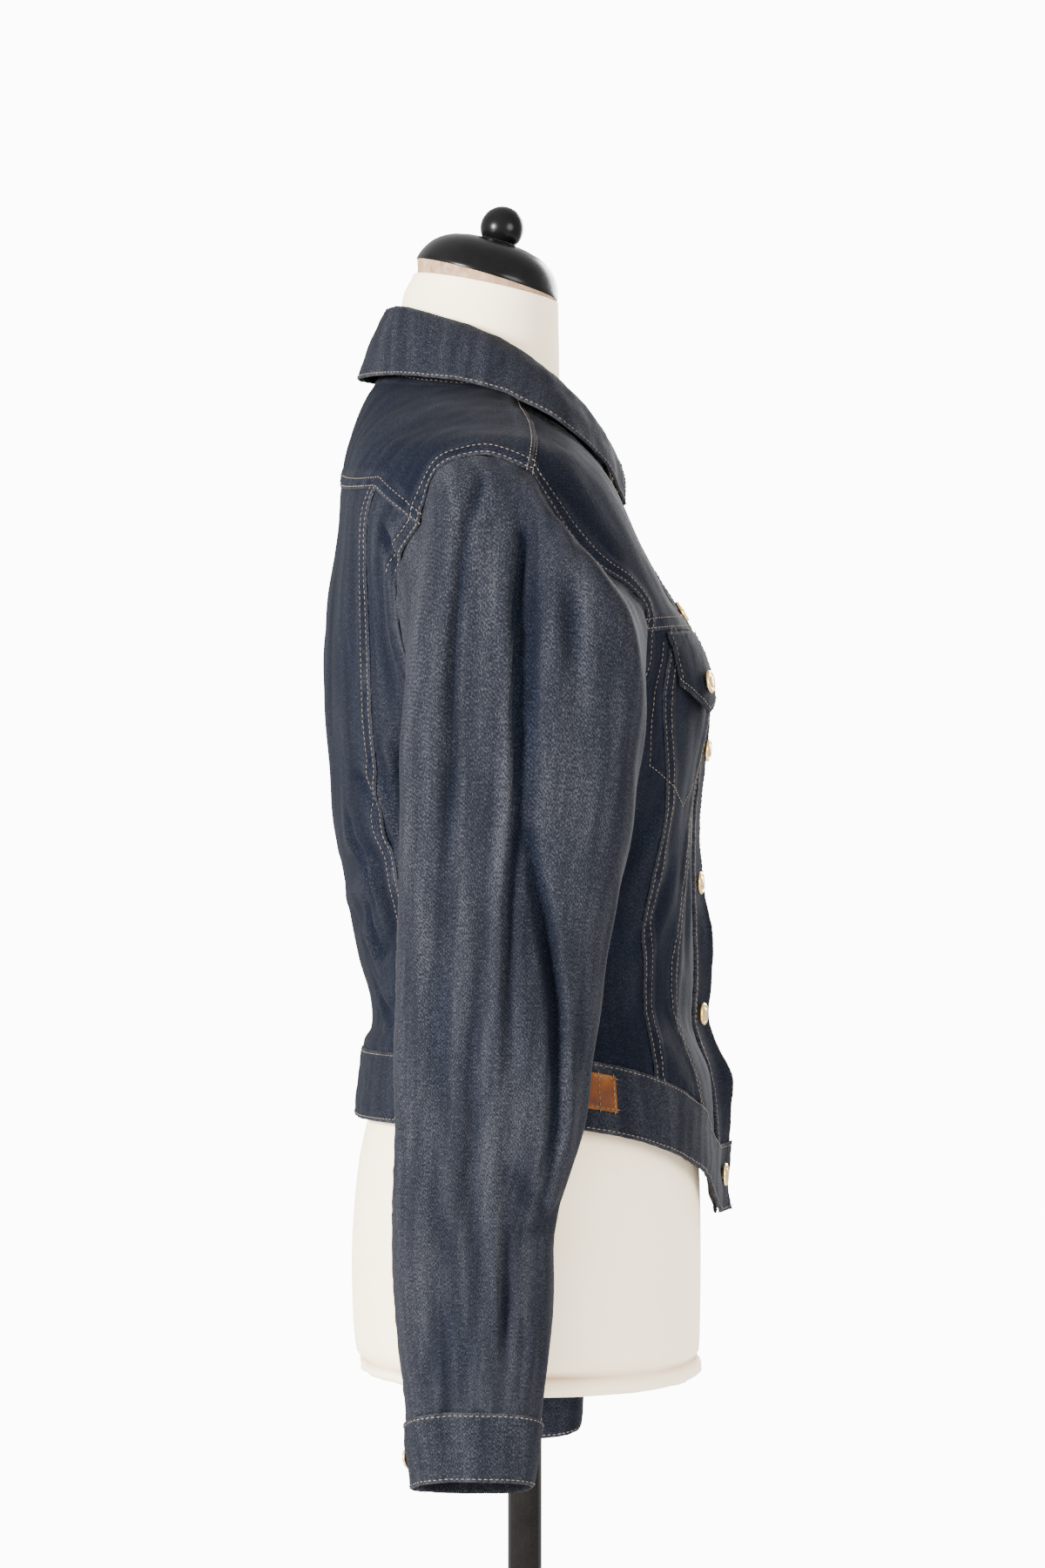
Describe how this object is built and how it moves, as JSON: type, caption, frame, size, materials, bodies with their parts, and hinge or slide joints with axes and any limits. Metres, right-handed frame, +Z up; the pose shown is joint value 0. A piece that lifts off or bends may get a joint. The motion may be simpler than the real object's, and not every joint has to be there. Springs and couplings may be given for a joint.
{
  "type": "fitted denim jacket on a dress form",
  "caption": "Fitted denim jacket with a collar, chest pocket flaps and a waistband, buttoned up on a limbless dress form that stands on a pole and a round base.",
  "frame": {"origin": "centre of the base plate's underside, on the axis of the pole", "axes": "+Z up along the pole, -Y the way the wearer faces, -X the wearer's right"},
  "size_m": [0.4768, 0.32, 1.5505],
  "materials": {
    "denim": "dark indigo twill, matt, a little pale along its edges",
    "gold_metal": "polished gold-coloured metal",
    "leather": "smooth brown leather, plain",
    "jersey": "matt cream jersey stretched smooth",
    "tan_edge": "matt tan edging",
    "black_lacquer": "black lacquered wood, glossy",
    "black_paint": "gloss black paint"
  },
  "bodies": {
    "root": {"back_yoke": "denim", "back_panel": "denim", "back_side_r": "denim", "back_side_l": "denim", "front_yoke_r": "denim", "front_yoke_l": "denim", "front_side_r": "denim", "front_side_l": "denim", "front_mid_r": "denim", "front_mid_l": "denim", "front_r": "denim", "front_l": "denim", "placket_r": "denim", "placket_l": "denim", "pocket_flap_r": "denim", "pocket_flap_l": "denim", "waistband": "denim", "collar_stand": "denim", "collar_fall": "denim", "upper_sleeve_r": "denim", "upper_sleeve_l": "denim", "under_sleeve_r": "denim", "under_sleeve_l": "denim", "cuff_r": "denim", "cuff_l": "denim", "button_front_1": "gold_metal", "button_front_2": "gold_metal", "button_front_3": "gold_metal", "button_front_4": "gold_metal", "button_front_5": "gold_metal", "button_front_6": "gold_metal", "button_flap_r": "gold_metal", "button_flap_l": "gold_metal", "button_cuff_r": "gold_metal", "button_cuff_l": "gold_metal", "leather_patch": "leather", "form_torso": "jersey", "form_rim": "tan_edge", "neck_cap": "black_lacquer", "neck_knob": "black_lacquer", "form_pole": "black_paint", "form_base": "black_paint"}
  },
  "joints": []
}
